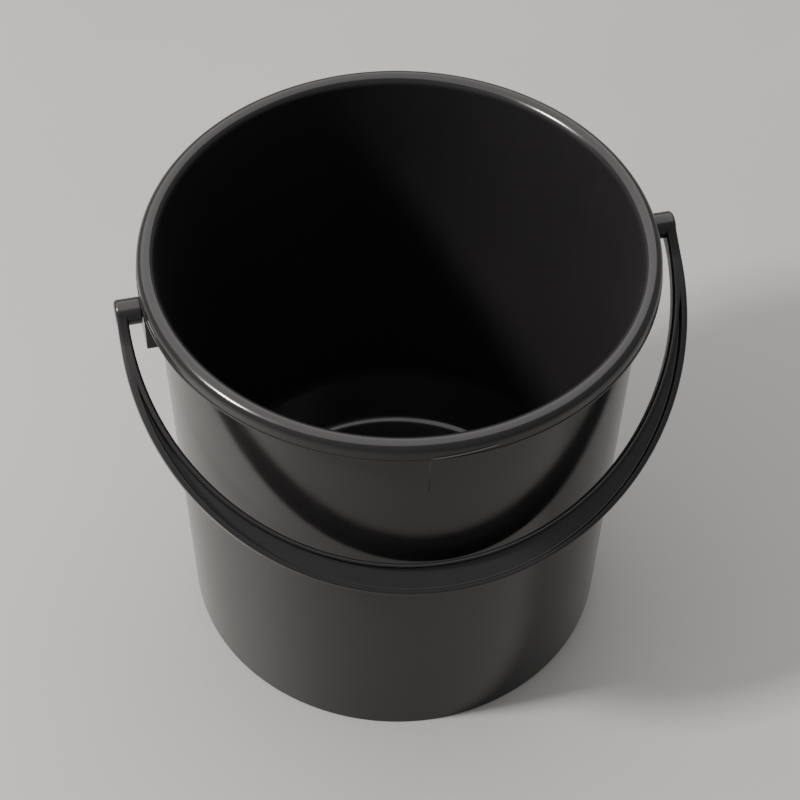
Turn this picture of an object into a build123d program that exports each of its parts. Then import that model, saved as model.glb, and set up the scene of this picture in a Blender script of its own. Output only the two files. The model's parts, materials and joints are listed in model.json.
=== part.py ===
from build123d import *
import math
import os

# Florist bucket: a tapered bucket moulded in one piece, and a bail handle moulded in one piece.
# Millimetres. +Z is up, the origin is the centre of the base, on the surface that the bucket stands on.
# X is the pivot axis of the bail. The bail hangs down on the -Y side and rests against the wall there.

# ---- Driving dimensions: bucket ----
rim_outer_r = 132.0
overall_height = 260.7
base_outer_r = 115.8
wall = 2.0
roll_r = 4.8             # radius of the rounded lip
bead = 0.4               # how far the bead at the lower edge of the skirt stands proud
bead_height = 1.8
skirt_drop = 5.4         # from the centre of the rounded lip down to the lower edge of the skirt
skirt_wall = 1.6
floor_top = 7.0
floor_thickness = 2.4
floor_flat_r = 96.0
hip_angle = 52.0         # slope of the conical hip between the floor and the wall, from horizontal
foot_edge_fillet = 1.2
floor_fillet = 7.0
hip_fillet = 12.0

# ---- Driving dimensions: ears ----
hub_clearance = 0.5      # between the bail's hub and the lower edge of the rim's skirt
ear_inset = 0.6          # the ear's outer face lies this far inside the rim's outer radius
ear_width = 20.0
ear_reach_down = 20.0    # from the pivot axis down to the ear's lower edge
ear_plate = 3.0
ear_web = 2.0
ear_corner = 2.5

# ---- Driving dimensions: bail ----
pin_r = 4.0
pin_clearance = 0.08     # radial, running fit of the pin in the ear
pin_head_step = 0.8      # how far the pin's head stands out all round from the pin
pin_head_length = 1.8
side_gap = 0.4           # between the hub's shoulder and the ear's outer face
head_gap = 0.4           # between the pin's head and the ear's inner face
hub_r = 6.8
hub_length = 12.8
hub_edge = 1.5
arm_width = 5.8
grip_width = 15.8
bow_depth = 9.0          # thickness of the bow, square to its plane
bow_edge = 1.2
bow_rim_clearance = 16.3  # between the swinging bow and the rim
channel_depth = 4.0
channel_start = 36.0     # from the pivot axis down to the channel's pointed ends
flange_outer = 2.4
flange_inner = 2.0
rest_gap = 0.3           # between the hanging bow and the wall

# ---- Worked out from them ----
roll_centre_z = overall_height - roll_r
roll_centre_r = rim_outer_r - bead - roll_r
inner_top_r = roll_centre_r - roll_r
outer_top_r = inner_top_r + wall
taper = (outer_top_r - base_outer_r) / roll_centre_z
skirt_bottom_z = roll_centre_z - skirt_drop
skirt_inner_r = roll_centre_r + roll_r - skirt_wall
pivot_z = skirt_bottom_z - hub_clearance - hub_r
pivot_depth = overall_height - pivot_z
ear_face_x = rim_outer_r - ear_inset
ear_inner_x = ear_face_x - ear_plate
hole_r = pin_r + pin_clearance
pin_head_r = pin_r + pin_head_step
hub_inner_x = ear_face_x + side_gap
bow_outer_r = hub_inner_x + hub_length
bow_inner_r = bow_outer_r - arm_width
inner_reach = math.hypot(rim_outer_r, pivot_depth) + bow_rim_clearance
outer_reach = inner_reach + grip_width
outer_centre = outer_reach - bow_outer_r
inner_centre = inner_reach - bow_inner_r


def outer_wall_r(z):
    """Radius of the wall's outer face at a height."""
    return base_outer_r + taper * z


def inner_wall_r(z):
    """Radius of the wall's inner face at a height."""
    return outer_wall_r(z) - wall


def hip_top(start_r, start_z):
    """Where a line up the hip's slope, from a point, meets the wall's inner face."""
    slope = math.tan(math.radians(hip_angle))
    rise = (inner_wall_r(start_z) - start_r) * slope / (1 - taper * slope)
    return start_r + rise / slope, start_z + rise


def rest_angle():
    """Angle below horizontal at which the bow's inner edge comes to rest against the wall."""
    reach = inner_reach + bow_edge
    half = bow_depth / 2 - bow_edge
    along = reach + taper * half
    across = taper * reach - half
    stand_off = (bow_edge + rest_gap) * math.hypot(1, taper)
    target = outer_wall_r(pivot_z) + stand_off
    return math.atan2(across, along) + math.acos(target / math.hypot(along, across))


hang = rest_angle()


def bucket_profile():
    """Half section of the wall, floor, foot and rim, ready to turn about Z."""
    under_shift = wall / math.cos(math.radians(hip_angle))
    hip_r, hip_z = hip_top(floor_flat_r, floor_top)
    slope = math.tan(math.radians(hip_angle))
    under_z = floor_top - floor_thickness
    under_r = floor_flat_r + (under_z - floor_top + under_shift) / slope
    skirt_r, skirt_z = hip_top(under_r, under_z)
    lip_r = outer_wall_r(roll_centre_z)
    with BuildSketch(Plane.XZ) as section:
        with BuildLine():
            Polyline((0, under_z), (0, floor_top), (floor_flat_r, floor_top), (hip_r, hip_z),
                     (inner_top_r, roll_centre_z))
            ThreePointArc((inner_top_r, roll_centre_z), (roll_centre_r, overall_height),
                          (roll_centre_r + roll_r, roll_centre_z))
            Polyline((roll_centre_r + roll_r, roll_centre_z),
                     (roll_centre_r + roll_r, skirt_bottom_z + bead_height),
                     (rim_outer_r, skirt_bottom_z + bead_height - bead),
                     (rim_outer_r, skirt_bottom_z),
                     (skirt_inner_r, skirt_bottom_z),
                     (skirt_inner_r, roll_centre_z))
            ThreePointArc((skirt_inner_r, roll_centre_z),
                          ((skirt_inner_r + lip_r) / 2, roll_centre_z + (skirt_inner_r - lip_r) / 2),
                          (lip_r, roll_centre_z))
            Polyline((lip_r, roll_centre_z), (base_outer_r, 0), (inner_wall_r(0), 0),
                     (skirt_r, skirt_z), (under_r, under_z), (0, under_z))
        make_face()
        corners = section.vertices()
        fillet(corners.sort_by_distance((floor_flat_r, 0, floor_top))[0], floor_fillet)
        fillet(corners.sort_by_distance((hip_r, 0, hip_z))[0], hip_fillet)
        fillet(corners.sort_by_distance((base_outer_r, 0, 0))[0], foot_edge_fillet)
    return section.sketch


def ear(side):
    """Pocket under the rim, open below, with the pivot hole through its outer plate."""
    lower_z = pivot_z - ear_reach_down
    height = roll_centre_z - lower_z
    block = Pos(side * ear_face_x / 2, 0, lower_z + height / 2) * Box(ear_face_x, ear_width, height)
    block = fillet(block.edges().filter_by(Axis.X).group_by(Axis.Z)[0], ear_corner)
    depth = skirt_bottom_z - lower_z
    inside = Box(ear_inner_x, ear_width - 2 * ear_web, depth)
    pocket = Pos(side * ear_inner_x / 2, 0, lower_z + depth / 2) * inside
    hole = Pos(side * ear_face_x, 0, pivot_z) * Rot(0, 90, 0) * Cylinder(hole_r, 3 * ear_plate)
    return block - pocket - hole


def bucket():
    """The bucket's one moulding: floor, hip, wall, foot, rim and both ears."""
    mid_wall_base = outer_wall_r(0) - wall / 2
    mid_wall_top = outer_wall_r(overall_height) - wall / 2
    within_wall = Pos(0, 0, overall_height / 2) * Cone(mid_wall_base, mid_wall_top, overall_height)
    shell = revolve(bucket_profile(), Axis.Z)
    return shell + (ear(-1) - within_wall) + (ear(1) - within_wall)


def outer_u(v):
    """Distance from the middle of the bow to its outer edge, at a distance below the pivot axis."""
    return math.sqrt(bow_outer_r ** 2 - max(v - outer_centre, 0) ** 2)


def inner_u(v):
    """Distance from the middle of the bow to its inner edge, at a distance below the pivot axis."""
    return math.sqrt(bow_inner_r ** 2 - max(v - inner_centre, 0) ** 2)


def bow_outline(plane):
    """The bow's flat outline: straight arms, then an arc outside and an arc inside."""
    with BuildSketch(plane) as outline:
        with BuildLine():
            Line((-bow_outer_r, 0), (-bow_outer_r, -outer_centre))
            ThreePointArc((-bow_outer_r, -outer_centre), (0, -outer_reach), (bow_outer_r, -outer_centre))
            Line((bow_outer_r, -outer_centre), (bow_outer_r, 0))
            Line((bow_outer_r, 0), (bow_inner_r, 0))
            Line((bow_inner_r, 0), (bow_inner_r, -inner_centre))
            ThreePointArc((bow_inner_r, -inner_centre), (0, -inner_reach), (-bow_inner_r, -inner_centre))
            Line((-bow_inner_r, -inner_centre), (-bow_inner_r, 0))
            Line((-bow_inner_r, 0), (-bow_outer_r, 0))
        make_face()
    return outline.sketch


def channel_outline(plane):
    """The crescent of the bow's channel, pointed at both ends."""
    arm_middle = (outer_u(channel_start) + inner_u(channel_start)) / 2
    start, end = (-arm_middle, -channel_start), (arm_middle, -channel_start)
    with BuildSketch(plane) as outline:
        with BuildLine():
            ThreePointArc(start, (0, flange_outer - outer_reach), end)
            ThreePointArc(start, (0, -inner_reach - flange_inner), end)
        make_face()
    return outline.sketch


def hub(side):
    """Hub at the end of an arm, with the pin that turns in the ear and the head that holds it."""
    turn = Rot(0, side * 90, 0)
    drum = Cylinder(hub_r, hub_length, align=(Align.CENTER, Align.CENTER, Align.MIN))
    drum = fillet(drum.edges().group_by(Axis.Z)[-1], hub_edge)
    pin_length = side_gap + ear_plate + head_gap
    pin = Pos(0, 0, -pin_length) * Cylinder(pin_r, pin_length, align=(Align.CENTER, Align.CENTER, Align.MIN))
    head = Pos(0, 0, -pin_length - pin_head_length) * Cone(
        pin_r, pin_head_r, pin_head_length, align=(Align.CENTER, Align.CENTER, Align.MIN))
    return Pos(side * hub_inner_x, 0, pivot_z) * turn * (drum + pin + head)


def bail():
    """The bail's one moulding: bow, channel, hubs and pins, at rest against the wall."""
    normal = (0, -math.sin(hang), math.cos(hang))
    middle = Plane(origin=(0, 0, pivot_z), x_dir=(1, 0, 0), z_dir=normal)
    back = middle.offset(-bow_depth / 2)
    channel_floor = middle.offset(bow_depth / 2 - channel_depth)
    bow = extrude(bow_outline(back), bow_depth)
    long_edges = [edge for edge in bow.edges() if edge.length > 2 * bow_depth]
    bow = fillet(long_edges, bow_edge)
    bow = bow - extrude(channel_outline(channel_floor), 2 * channel_depth)
    return bow + hub(-1) + hub(1)


os.makedirs("parts", exist_ok=True)
parts = {"bucket": bucket(), "bail_handle": bail()}
for name, solid in parts.items():
    solid.label = name
    export_step(solid, "parts/" + name + ".step")
print("bail hangs", round(math.degrees(hang), 2), "degrees below horizontal")
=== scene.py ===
import json
import math

import bmesh
import bpy
from mathutils import Matrix, Quaternion, Vector


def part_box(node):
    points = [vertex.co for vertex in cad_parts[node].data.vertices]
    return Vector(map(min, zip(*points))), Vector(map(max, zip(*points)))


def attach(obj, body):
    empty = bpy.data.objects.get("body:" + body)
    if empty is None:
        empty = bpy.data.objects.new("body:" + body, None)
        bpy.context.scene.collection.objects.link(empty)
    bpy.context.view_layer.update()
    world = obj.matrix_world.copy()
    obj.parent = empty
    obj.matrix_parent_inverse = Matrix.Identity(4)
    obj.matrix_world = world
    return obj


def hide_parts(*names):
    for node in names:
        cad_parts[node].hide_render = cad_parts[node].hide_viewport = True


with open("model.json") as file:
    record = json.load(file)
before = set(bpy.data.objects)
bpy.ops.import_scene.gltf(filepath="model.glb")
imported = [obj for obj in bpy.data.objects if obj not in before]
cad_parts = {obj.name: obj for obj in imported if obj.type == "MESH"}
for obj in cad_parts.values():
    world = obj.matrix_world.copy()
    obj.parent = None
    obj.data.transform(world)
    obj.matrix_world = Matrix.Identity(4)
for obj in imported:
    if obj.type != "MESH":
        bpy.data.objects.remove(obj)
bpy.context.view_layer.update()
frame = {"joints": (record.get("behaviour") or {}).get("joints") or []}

# A florist bucket: one moulded bucket with two ears, and one moulded bail handle.
# Metres. The frame's origin is the centre of the base and X is the bail's pivot axis.
# The bail hangs on the -Y side.

MM = 0.001

# ---- Read from the frame ----
rim_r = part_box("bucket")[1].x
top_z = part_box("bucket")[1].z
bail_end_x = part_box("bail_handle")[1].x
swing = frame["joints"][0]
pivot_z = swing["pos_m"][2]
hang = math.radians((swing["range_deg"][1] - 180) / 2)

# ---- Bucket sections ----
base_r = 115.8 * MM
wall = 2.0 * MM
roll_r = 4.8 * MM
bead = 0.4 * MM
bead_height = 1.8 * MM
skirt_drop = 5.4 * MM
skirt_wall = 1.6 * MM
floor_top = 7.0 * MM
floor_thickness = 2.4 * MM
floor_flat_r = 96.0 * MM
hip_slope = math.tan(math.radians(52.0))
floor_fillet = 7.0 * MM
hip_fillet = 12.0 * MM
roll_z = top_z - roll_r
roll_centre = rim_r - bead - roll_r
lip_inner_r = roll_centre - roll_r
taper = (lip_inner_r + wall - base_r) / roll_z
skirt_z = roll_z - skirt_drop
skirt_outer_r = roll_centre + roll_r
skirt_inner_r = skirt_outer_r - skirt_wall

# ---- Ear sections ----
ear_inset = 0.6 * MM
ear_face_x = rim_r - ear_inset
ear_half_width = 10.0 * MM
ear_reach_down = 20.0 * MM
ear_low_z = pivot_z - ear_reach_down
ear_plate = 3.0 * MM
ear_web = 2.0 * MM
ear_corner = 2.5 * MM
ear_edge = 0.5 * MM

# ---- Bail sections ----
pin_r = 4.0 * MM
pin_clearance = 0.08 * MM
hole_r = pin_r + pin_clearance
pin_head_step = 0.8 * MM
pin_head_r = pin_r + pin_head_step
pin_head_length = 1.8 * MM
side_gap = 0.4 * MM
head_gap = 0.4 * MM
hub_r = 6.8 * MM
hub_inner_x = ear_face_x + side_gap
arm_width = 5.8 * MM
grip_width = 15.8 * MM
bow_depth = 9.0 * MM
bow_inner_r = bail_end_x - arm_width
bow_rim_clearance = 16.3 * MM
inside_cad = 0.07 * MM  # keeps the bow's outer edge inside the CAD box, whose arc is made of flats
inner_reach = math.hypot(rim_r, top_z - pivot_z) + bow_rim_clearance
outer_reach = inner_reach + grip_width - inside_cad
outer_centre = outer_reach - bail_end_x
inner_centre = inner_reach - bow_inner_r
channel_depth = 4.0 * MM
channel_start = 36.0 * MM
channel_fade = 7.0 * MM
flange_outer = 2.4 * MM
flange_inner = 2.0 * MM
arm_tuck = 0.5 * MM
root_v = 18.0 * MM
root_swell = 2.2 * MM

AXIS_R = 1e-7  # a turned point closer to the axis than this is a pole
BUCKET_SEGMENTS = 320
HUB_SEGMENTS = 72
HOLE_SEGMENTS = 64
PLASTIC_IOR = 1.40  # a little under polypropylene's 1.49, which keeps the wall as dark as the real one


# ---------------------------------------------------------------- mesh helpers

def arc(centre, radius, start, end, steps):
    """Points on a circle from one angle to another, in degrees."""
    angles = [math.radians(start + (end - start) * i / steps) for i in range(steps + 1)]
    return [(centre[0] + radius * math.cos(a), centre[1] + radius * math.sin(a)) for a in angles]


def rounded(corners, steps=6, closed=False):
    """A polyline with each corner (x, y, radius) turned into an arc."""
    out = []
    count = len(corners)
    for i, (x, y, radius) in enumerate(corners):
        here = Vector((x, y))
        inner = closed or 0 < i < count - 1
        if not inner or radius <= 0:
            out.append((x, y))
            continue
        before = Vector(corners[i - 1][:2]) - here
        after = Vector(corners[(i + 1) % count][:2]) - here
        half = before.angle(after) / 2
        longest_cut = 0.49 * min(before.length, after.length)
        cut = min(radius / math.tan(half), longest_cut)
        radius = cut * math.tan(half)
        middle = here + (before.normalized() + after.normalized()).normalized() * (radius / math.sin(half))
        start = here + before.normalized() * cut - middle
        end = here + after.normalized() * cut - middle
        turn = start.angle_signed(end)
        for k in range(steps + 1):
            spoke = start.copy()
            spoke.rotate(Matrix.Rotation(-turn * k / steps, 2))
            out.append(tuple(middle + spoke))
    return out


def new_object(name, mesh_builder):
    """A mesh object from a function that fills a bmesh."""
    made = bmesh.new()
    mesh_builder(made)
    bmesh.ops.recalc_face_normals(made, faces=made.faces)
    mesh = bpy.data.meshes.new(name)
    made.to_mesh(mesh)
    made.free()
    obj = bpy.data.objects.new(name, mesh)
    bpy.context.scene.collection.objects.link(obj)
    return obj


def smooth(obj, sharp_over=35.0):
    """Smooth shading with the sharp edges kept, and normals weighted to the large faces."""
    work = bmesh.new()
    work.from_mesh(obj.data)
    limit = math.radians(sharp_over)
    for face in work.faces:
        face.smooth = True
    for edge in work.edges:
        edge.smooth = edge.is_manifold and edge.calc_face_angle(0.0) < limit
    work.to_mesh(obj.data)
    work.free()
    weighted = obj.modifiers.new("weighted_normals", "WEIGHTED_NORMAL")
    weighted.keep_sharp = True
    return obj


def apply_modifiers(obj):
    """Turns the object's modifiers into its mesh."""
    graph = bpy.context.evaluated_depsgraph_get()
    mesh = bpy.data.meshes.new_from_object(obj.evaluated_get(graph))
    obj.modifiers.clear()
    obj.data = mesh


def combine(obj, other, operation):
    """Boolean of two closed meshes. The other object is used up."""
    step = obj.modifiers.new(operation.lower(), "BOOLEAN")
    step.operation = operation
    step.solver = "EXACT"
    step.object = other
    apply_modifiers(obj)
    bpy.data.objects.remove(other)
    return obj


def turned(profile, segments, place):
    """A builder that turns (radius, along) points about an axis. A point on the axis becomes a pole.

    place(along, c, s) gives the point that lies c and s off the axis at that height.
    """
    def build(made):
        rings = []
        for r, along in profile:
            if r < AXIS_R:
                rings.append([made.verts.new(place(along, 0, 0))])
                continue
            angles = [2 * math.pi * k / segments for k in range(segments)]
            rings.append([made.verts.new(place(along, r * math.cos(a), r * math.sin(a))) for a in angles])
        for low, high in zip(rings, rings[1:]):
            for k in range(segments):
                after = (k + 1) % segments
                if len(low) == 1:
                    made.faces.new((low[0], high[k], high[after]))
                elif len(high) == 1:
                    made.faces.new((low[k], high[0], low[after]))
                else:
                    made.faces.new((low[k], high[k], high[after], low[after]))
    return build


def lathe(profile, segments):
    """A builder that turns (r, z) points about Z."""
    return turned(profile, segments, lambda z, c, s: (c, s, z))


def lathe_x(profile, segments):
    """A builder that turns (r, x) points about the pivot axis."""
    return turned(profile, segments, lambda x, c, s: (x, c, pivot_z + s))


def skin(made, rings):
    """Faces between closed rings of the same length, with a cap at each end."""
    for first, second in zip(rings, rings[1:]):
        for i in range(len(first)):
            j = (i + 1) % len(first)
            made.faces.new((first[i], first[j], second[j], second[i]))
    made.faces.new(rings[0])
    made.faces.new(rings[-1])


# ---------------------------------------------------------------- bucket

def outer_wall_r(z):
    """Radius of the tapered wall's outer face at a height."""
    return base_r + taper * z


def hip_meets_wall(r, z):
    """Where a line up the hip's slope, from a point, meets the wall's inner face."""
    rise = (outer_wall_r(z) - wall - r) * hip_slope / (1 - taper * hip_slope)
    return r + rise / hip_slope, z + rise


def bucket_profile():
    """Half section of the bucket from the middle of the floor, over the rim, to the middle underneath."""
    hip_r, hip_z = hip_meets_wall(floor_flat_r, floor_top)
    under_z = floor_top - floor_thickness
    under_r = floor_flat_r + (under_z - floor_top + wall * math.hypot(1, hip_slope)) / hip_slope
    foot_r, foot_z = hip_meets_wall(under_r, under_z)
    lip_r = outer_wall_r(roll_z)
    gap_r = (skirt_inner_r - lip_r) / 2
    inside = rounded([(0, floor_top, 0), (floor_flat_r, floor_top, floor_fillet),
                      (hip_r, hip_z, hip_fillet), (lip_inner_r, roll_z, 0)], 10)
    lip = arc((roll_centre, roll_z), roll_r, 180, 0, 28)
    skirt = rounded([(skirt_outer_r, roll_z, 0), (skirt_outer_r, skirt_z + bead_height, 0.3 * MM),
                     (rim_r, skirt_z + bead_height - bead, 0.25 * MM), (rim_r, skirt_z, 0.4 * MM),
                     (skirt_inner_r, skirt_z, 0.5 * MM), (skirt_inner_r, roll_z, 0)], 4)
    under_lip = arc((lip_r + gap_r, roll_z), gap_r, 0, 180, 10)
    outside = rounded([(lip_r, roll_z, 0), (base_r, 0, 1.4 * MM), (base_r - wall, 0, 0.5 * MM),
                       (foot_r, foot_z, 1.0 * MM), (under_r, under_z, 5.0 * MM), (0, under_z, 0)], 6)
    return inside + lip[1:] + skirt[1:] + under_lip[1:] + outside[1:]


def make_bucket():
    bucket = new_object("bucket_moulding", lathe(bucket_profile(), BUCKET_SEGMENTS))
    return smooth(bucket, 60)


def box_builder(low, high):
    """A builder for a box between two corners."""
    def build(made):
        bmesh.ops.create_cube(made, size=1)
        for v in made.verts:
            v.co = Vector([low[i] + (v.co[i] + 0.5) * (high[i] - low[i]) for i in range(3)])
    return build


def make_ear(side, name):
    """A pocket under the rim: outer plate with the pivot hole, two webs, open below."""
    within_wall = outer_wall_r(ear_low_z) - wall * 0.5
    outline = rounded([(-ear_half_width, roll_z, 0), (-ear_half_width, ear_low_z, ear_corner),
                       (ear_half_width, ear_low_z, ear_corner), (ear_half_width, roll_z, 0)], 6)

    def block(made):
        skin(made, [[made.verts.new((side * x, y, z)) for y, z in outline]
                    for x in (within_wall, ear_face_x)])

    ear = new_object(name, block)
    edge = ear.modifiers.new("edges", "BEVEL")
    edge.width = ear_edge
    edge.segments = 3
    edge.limit_method = "ANGLE"
    edge.angle_limit = math.radians(60)
    apply_modifiers(ear)
    past = 5.0 * MM
    low_x, high_x = sorted((side * (within_wall - past), side * (ear_face_x - ear_plate)))
    web_y = ear_half_width - ear_web
    pocket = box_builder((low_x, -web_y, ear_low_z - past), (high_x, web_y, skirt_z))
    combine(ear, new_object("pocket", pocket), "DIFFERENCE")
    low_x, high_x = sorted((side * (ear_face_x - 2 * ear_plate), side * (ear_face_x + 2 * ear_plate)))
    hole = lathe_x([(0, low_x), (hole_r, low_x), (hole_r, high_x), (0, high_x)], HOLE_SEGMENTS)
    combine(ear, new_object("hole", hole), "DIFFERENCE")
    return smooth(ear, 40)


def make_blank_panel():
    """The plain raised panel under the rim, near the middle of the front."""
    middle, half_angle = math.radians(-88.8), math.radians(7.6)
    low, high = 216.0 * MM, 242.8 * MM
    proud, sunk, edge = 0.35 * MM, 0.5 * MM, 0.35 * MM
    columns, rows = 24, 6

    def build(made):
        layers = []
        for offset, inset in ((-sunk, 0.0), (0.0, 0.0), (proud, edge)):
            grid = []
            for i in range(columns + 1):
                a = middle + (half_angle - inset / base_r) * (2 * i / columns - 1)
                grid.append([])
                for j in range(rows + 1):
                    z = low + inset + (high - low - 2 * inset) * j / rows
                    r = outer_wall_r(z) + offset
                    grid[-1].append(made.verts.new((r * math.cos(a), r * math.sin(a), z)))
            layers.append(grid)
        for grid in (layers[0], layers[-1]):
            for i in range(columns):
                for j in range(rows):
                    made.faces.new((grid[i][j], grid[i + 1][j], grid[i + 1][j + 1], grid[i][j + 1]))
        for lower, upper in zip(layers, layers[1:]):
            rim = ([(i, 0) for i in range(columns)] + [(columns, j) for j in range(rows)]
                   + [(i, rows) for i in range(columns, 0, -1)] + [(0, j) for j in range(rows, 0, -1)])
            for (i, j), (k, m) in zip(rim, rim[1:] + rim[:1]):
                made.faces.new((lower[i][j], lower[k][m], upper[k][m], upper[i][j]))
    return smooth(new_object("blank_panel", build), 40)


def make_skirt_ridge():
    """The raised line across the skirt above the blank panel. It rises towards +X, and its ends are thin."""
    first, last = math.radians(-97.0), math.radians(-81.7)
    first_z, last_z = skirt_z + 1.9 * MM, skirt_z + 4.2 * MM
    section = [(-0.3, 0.2), (0.55, -0.02), (0.7, -0.16), (0.62, -0.4), (-0.3, -1.7)]  # (out, up), mm
    steps = 40

    def build(made):
        rings = []
        for k in range(steps + 1):
            t = k / steps
            a = first + (last - first) * t
            z = first_z + (last_z - first_z) * t
            size = min(1.0, 0.2 + 8 * t, 0.2 + 8 * (1 - t)) * MM
            ring = []
            for out, up in section:
                r = skirt_outer_r + out * size
                ring.append(made.verts.new((r * math.cos(a), r * math.sin(a), z + up * size)))
            rings.append(ring)
        skin(made, rings)
    return smooth(new_object("skirt_ridge", build), 35)


# ---------------------------------------------------------------- bail

def bow_point(u, v, n):
    """A point of the bow in the frame: u along the pivot axis, v down the hanging bow, n out of its plane."""
    y = -v * math.cos(hang) - n * math.sin(hang)
    z = -v * math.sin(hang) + n * math.cos(hang)
    return Vector((u, y, pivot_z + z))


def ray_to_edge(angle, start_v, radius, centre_v):
    """Where a ray from the middle line meets an edge made of straight arms and an arc."""
    ahead = centre_v - start_v
    reach = ahead * math.cos(angle) + math.sqrt(radius ** 2 - (ahead * math.sin(angle)) ** 2)
    if start_v + reach * math.cos(angle) < centre_v:
        reach = radius / abs(math.sin(angle))
    return reach * math.sin(angle), start_v + reach * math.cos(angle)


def bow_stations():
    """Pairs of inner and outer edge points, (u, v), from the left hub round to the right hub."""
    turn_v = (outer_centre + inner_centre) / 2
    arm_rows, steps = 5, 240
    left = []
    for v in [turn_v * k / arm_rows for k in range(arm_rows)]:
        outer = bail_end_x - arm_tuck * (1 - v / turn_v) ** 2
        left.append(((-bow_inner_r, v), (-outer, v)))
    middle = []
    for k in range(steps + 1):
        angle = -math.pi / 2 + math.pi * k / steps
        middle.append((ray_to_edge(angle, turn_v, bow_inner_r, inner_centre),
                       ray_to_edge(angle, turn_v, bail_end_x, outer_centre)))
    right = [((-i[0], i[1]), (-o[0], o[1])) for i, o in reversed(left)]
    return left + middle + right


def circle_through(start_u, start_v, bottom_v):
    """Centre and radius of the arc through (+-start_u, start_v) and (0, bottom_v)."""
    centre = (bottom_v ** 2 - start_u ** 2 - start_v ** 2) / (2 * (bottom_v - start_v))
    return centre, bottom_v - centre


def channel_edges(inner, outer):
    """A station's width, and how far across it the channel's inner and outer edges lie."""
    arm_u = (math.sqrt(bail_end_x ** 2 - (channel_start - outer_centre) ** 2)
             + math.sqrt(bow_inner_r ** 2 - (channel_start - inner_centre) ** 2)) / 2
    a, b = Vector(inner), Vector(outer)
    width = (b - a).length
    across = (b - a) / width
    found = []
    for bottom in (inner_reach + flange_inner, outer_reach - flange_outer):
        centre, radius = circle_through(arm_u, channel_start, bottom)
        to_centre = Vector((0, centre)) - a
        along = to_centre.dot(across)
        off = to_centre.length_squared - along ** 2
        found.append(along + math.sqrt(max(radius ** 2 - off, 0)))
    return width, found[0], found[1]


def bow_section(inner, outer):
    """Closed loop of one station: (distance from the inner edge, height out of the bow's plane)."""
    width, near, far = channel_edges(inner, outer)
    near_hub = max(0.0, 1 - inner[1] / root_v)
    half = bow_depth / 2 + root_swell * near_hub ** 2
    below_start = min(inner[1], outer[1]) - channel_start
    opened = max(0.0, min(1.0, below_start / channel_fade))
    opened = opened * opened * (3 - 2 * opened)
    narrowest, flat = 0.3 * MM, 0.05 * MM
    if far - near < narrowest or below_start < 0:
        near, far = (width - narrowest) / 2, (width + narrowest) / 2
    depth = max(channel_depth * opened, 0.02 * MM)
    # Corner radii: each is as large as the real one, where the section leaves room for it.
    side_room = depth * 0.45
    crisp = min(0.35 * MM, side_room)
    ridge = min(0.8 * MM * opened + 0.01 * MM, side_room)
    root = min(0.8 * MM, side_room, (far - near) * 0.3)
    inner_round = min(2.6 * MM, near - ridge - flat)
    outer_round = min(2.0 * MM, width - far - crisp - flat)
    loop = [(0, -half, 2.6 * MM), (width, -half, 1.8 * MM),
            (width, half, outer_round), (far, half, crisp),
            (far, half - depth, root), (near, half - depth, root),
            (near, half, ridge), (0, half, inner_round)]
    return rounded(loop, 6, closed=True)


def build_bow(made):
    """The bow's surface, one section per station."""
    rings = []
    for inner, outer in bow_stations():
        a, b = Vector(inner), Vector(outer)
        across = (b - a).normalized()
        ring = []
        for x, n in bow_section(inner, outer):
            u, v = a + across * x
            ring.append(made.verts.new(bow_point(u, v, n)))
        rings.append(ring)
    skin(made, rings)


def hub_builder(side):
    """Turned hub, pin and snap head along X."""
    head_x = ear_face_x - ear_plate - head_gap
    tip_x = head_x - pin_head_length
    profile = rounded([(tip_x, 0, 0), (tip_x, pin_r, 0.4 * MM), (head_x, pin_head_r, 0.3 * MM),
                       (head_x, pin_r, 0.1 * MM), (hub_inner_x, pin_r, 0.1 * MM),
                       (hub_inner_x, hub_r, 0.5 * MM), (bail_end_x, hub_r, 1.9 * MM), (bail_end_x, 0, 0)], 6)
    return lathe_x([(r, side * x) for x, r in profile], HUB_SEGMENTS)


def make_bail():
    bail = new_object("bail_moulding", build_bow)
    for side, name in ((-1, "hub_left"), (1, "hub_right")):
        combine(bail, new_object(name, hub_builder(side)), "UNION")
    return smooth(bail, 40)


# ---------------------------------------------------------------- materials

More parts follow.
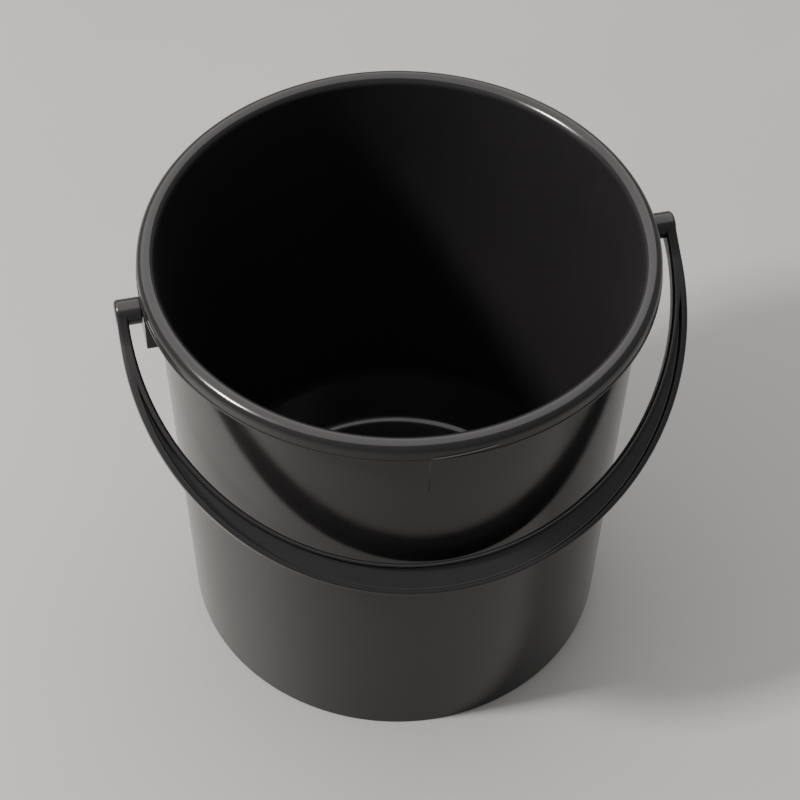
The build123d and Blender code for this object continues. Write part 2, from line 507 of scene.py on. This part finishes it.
class Nodes:
    """Short calls for building one material's node tree."""

    def __init__(self, name):
        self.material = bpy.data.materials.new(name)
        self.material.use_nodes = True
        self.tree = self.material.node_tree
        self.shader = self.tree.nodes["Principled BSDF"]
        self.coords = self.add("ShaderNodeTexCoord").outputs["Object"]

    def add(self, kind, **settings):
        node = self.tree.nodes.new(kind)
        for key, value in settings.items():
            setattr(node, key, value)
        return node

    def link(self, source, target):
        self.tree.links.new(source, target)

    def noise(self, scale, detail=4.0, roughness=0.55, stretch=(1, 1, 1), distortion=0.0):
        place = self.add("ShaderNodeMapping")
        place.inputs["Scale"].default_value = stretch
        self.link(self.coords, place.inputs["Vector"])
        noise = self.add("ShaderNodeTexNoise")
        noise.inputs["Scale"].default_value = scale
        noise.inputs["Detail"].default_value = detail
        noise.inputs["Roughness"].default_value = roughness
        noise.inputs["Distortion"].default_value = distortion
        self.link(place.outputs["Vector"], noise.inputs["Vector"])
        return noise.outputs["Fac"]

    def ramp(self, source, low, high, to_low=0.0, to_high=1.0):
        node = self.add("ShaderNodeMapRange")
        node.inputs["From Min"].default_value = low
        node.inputs["From Max"].default_value = high
        node.inputs["To Min"].default_value = to_low
        node.inputs["To Max"].default_value = to_high
        self.link(source, node.inputs["Value"])
        return node.outputs["Result"]

    def math(self, operation, a, b):
        node = self.add("ShaderNodeMath", operation=operation)
        for socket, value in zip(node.inputs, (a, b)):
            if isinstance(value, (int, float)):
                socket.default_value = value
            else:
                self.link(value, socket)
        return node.outputs["Value"]

    def mix(self, factor, a, b):
        """Colour mix. Inputs 0, 6 and 7 are the factor and the two colours."""
        node = self.add("ShaderNodeMix", data_type="RGBA")
        for socket, value in ((node.inputs[0], factor), (node.inputs[6], a), (node.inputs[7], b)):
            if isinstance(value, (tuple, float)):
                socket.default_value = value
            else:
                self.link(value, socket)
        return node.outputs[2]

    def towards_axis(self):
        """1 on the inner wall, which looks at the Z axis, and 0 on faces that look away from it.

        The product below is minus the distance from the axis, in metres, on faces that look straight at it.
        """
        level = self.add("ShaderNodeVectorMath", operation="MULTIPLY")
        self.link(self.coords, level.inputs[0])
        level.inputs[1].default_value = (1, 1, 0)
        facing = self.add("ShaderNodeVectorMath", operation="DOT_PRODUCT")
        self.link(self.add("ShaderNodeNewGeometry").outputs["Normal"], facing.inputs[0])
        self.link(level.outputs["Vector"], facing.inputs[1])
        return self.ramp(facing.outputs["Value"], -0.09, -0.115)

    def bump(self, height, distance, before=None):
        node = self.add("ShaderNodeBump")
        node.inputs["Strength"].default_value = 1.0
        node.inputs["Distance"].default_value = distance
        self.link(height, node.inputs["Height"])
        if before is not None:
            self.link(before, node.inputs["Normal"])
        return node.outputs["Normal"]


def black_polypropylene(name, tone, gloss, streak, duller_inside=0.0):
    """Black moulded polypropylene: faint mottle, rubbed patches, mould texture, dust on upward faces.

    tone is the middle grey, gloss the middle roughness, and streak stretches the marks of the mould.
    duller_inside is added to the roughness on faces that look at the Z axis.
    """
    n = Nodes(name)
    deep = (tone * 0.90, tone * 0.84, tone * 0.86, 1)
    pale = (tone * 1.16, tone * 1.06, tone * 1.05, 1)
    dust_colour, dust_cover, dust_rough = (0.13, 0.12, 0.11, 1), 0.30, 0.3
    cloud = n.ramp(n.noise(7.0, 2.0), 0.30, 0.70)
    colour = n.mix(cloud, deep, pale)
    up = n.add("ShaderNodeSeparateXYZ")
    n.link(n.add("ShaderNodeNewGeometry").outputs["Normal"], up.inputs["Vector"])
    facing_up = n.ramp(up.outputs["Z"], 0.3, 0.95)
    specks = n.ramp(n.noise(1300.0, 2.0, 0.6), 0.66, 0.80)
    patches = n.ramp(n.noise(22.0, 3.0, 0.5), 0.45, 0.80)
    dust = n.math("MULTIPLY", n.math("MULTIPLY", specks, patches), facing_up)
    colour = n.mix(n.math("MULTIPLY", dust, dust_cover), colour, dust_colour)
    n.link(colour, n.shader.inputs["Base Color"])
    smudge = n.ramp(n.noise(11.0, 2.0, 0.5), 0.25, 0.75, gloss - 0.015, gloss + 0.035)
    rubbed = n.ramp(n.noise(160.0, 1.0, 0.4, stretch=streak), 0.45, 0.80, 0.0, 0.03)
    rough = n.math("ADD", n.math("ADD", smudge, rubbed), n.math("MULTIPLY", dust, dust_rough))
    if duller_inside:
        rough = n.math("ADD", rough, n.math("MULTIPLY", n.towards_axis(), duller_inside))
    n.link(rough, n.shader.inputs["Roughness"])
    peel = n.bump(n.noise(380.0, 1.0, 0.4), 0.006 * MM)
    draw = n.bump(n.noise(60.0, 0.0, 0.4, stretch=streak), 0.008 * MM, peel)
    n.link(draw, n.shader.inputs["Normal"])
    n.shader.inputs["IOR"].default_value = PLASTIC_IOR
    return n.material


def pale_floor():
    n = Nodes("pale_floor")
    tone = n.mix(n.ramp(n.noise(2.2, 3.0), 0.3, 0.7), (0.218, 0.211, 0.202, 1), (0.240, 0.233, 0.223, 1))
    n.link(tone, n.shader.inputs["Base Color"])
    n.shader.inputs["Roughness"].default_value = 0.55
    return n.material


# ---------------------------------------------------------------- the pieces

bucket_plastic = black_polypropylene("bucket_polypropylene", 0.0085, 0.15, (1, 1, 0.06), duller_inside=0.26)
bail_plastic = black_polypropylene("bail_polypropylene", 0.0095, 0.22, (1, 1, 1))

bucket_pieces = [make_bucket(), make_ear(-1, "ear_left"), make_ear(1, "ear_right"), make_blank_panel(),
                 make_skirt_ridge()]
for piece in bucket_pieces:
    piece.data.materials.append(bucket_plastic)
    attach(piece, "bucket")
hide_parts("bucket")

bail_piece = make_bail()
bail_piece.data.materials.clear()
bail_piece.data.materials.append(bail_plastic)
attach(bail_piece, "bail")
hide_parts("bail_handle")


# ---------------------------------------------------------------- stage, light and camera

def make_floor():
    half, thick = 4.0, 0.02
    floor = new_object("floor", box_builder((-half, -half, -thick), (half, half, 0)))
    floor.data.materials.append(pale_floor())


def softbox(name, azimuth, elevation, distance, size, power, tint):
    """An area light aimed at the bucket. Azimuth is where it stands, from -Y towards +X, in degrees."""
    data = bpy.data.lights.new(name, "AREA")
    data.shape = "RECTANGLE"
    data.size, data.size_y = size
    data.energy = power
    data.color = tint
    light = bpy.data.objects.new(name, data)
    bpy.context.scene.collection.objects.link(light)
    a, e = math.radians(azimuth), math.radians(elevation)
    away = Vector((math.sin(a) * math.cos(e), -math.cos(a) * math.cos(e), math.sin(e)))
    light.location = away * distance + Vector((0, 0, top_z / 2))
    light.rotation_mode = "QUATERNION"
    light.rotation_quaternion = (-away).to_track_quat("-Z", "Y")
    light.visible_camera = False


def make_world(strength):
    world = bpy.data.worlds.new("studio")
    world.use_nodes = True
    back = world.node_tree.nodes["Background"]
    back.inputs["Color"].default_value = (0.92, 0.95, 1.0, 1)
    back.inputs["Strength"].default_value = strength
    bpy.context.scene.world = world


def make_camera():
    """Stands where the photographer stood: above, a little left of the bail's middle."""
    azimuth, elevation, roll = (math.radians(x) for x in (-13.85, 49.89, 0.955))
    distance = 1.2248
    aim = Vector((1.4, -0.3, 139.5)) * MM
    data = bpy.data.cameras.new("camera")
    data.sensor_width = 36.0
    data.lens = 102.08
    camera = bpy.data.objects.new("camera", data)
    bpy.context.scene.collection.objects.link(camera)
    back = Vector((math.sin(azimuth) * math.cos(elevation), -math.cos(azimuth) * math.cos(elevation),
                   math.sin(elevation)))
    camera.location = aim + back * distance
    camera.rotation_mode = "QUATERNION"
    camera.rotation_quaternion = (-back).to_track_quat("-Z", "Y") @ Quaternion((0, 0, 1), roll)
    bpy.context.scene.camera = camera


make_floor()
make_world(0.45)
# Degrees, degrees, metres, metres, watts, colour.
softbox("key_left", -88.5, 44, 2.6, (0.34, 0.34), 146, (1.0, 0.98, 0.95))
softbox("back_top", -174, 70, 2.0, (3.9, 3.9), 119, (1.0, 0.98, 0.955))
make_camera()
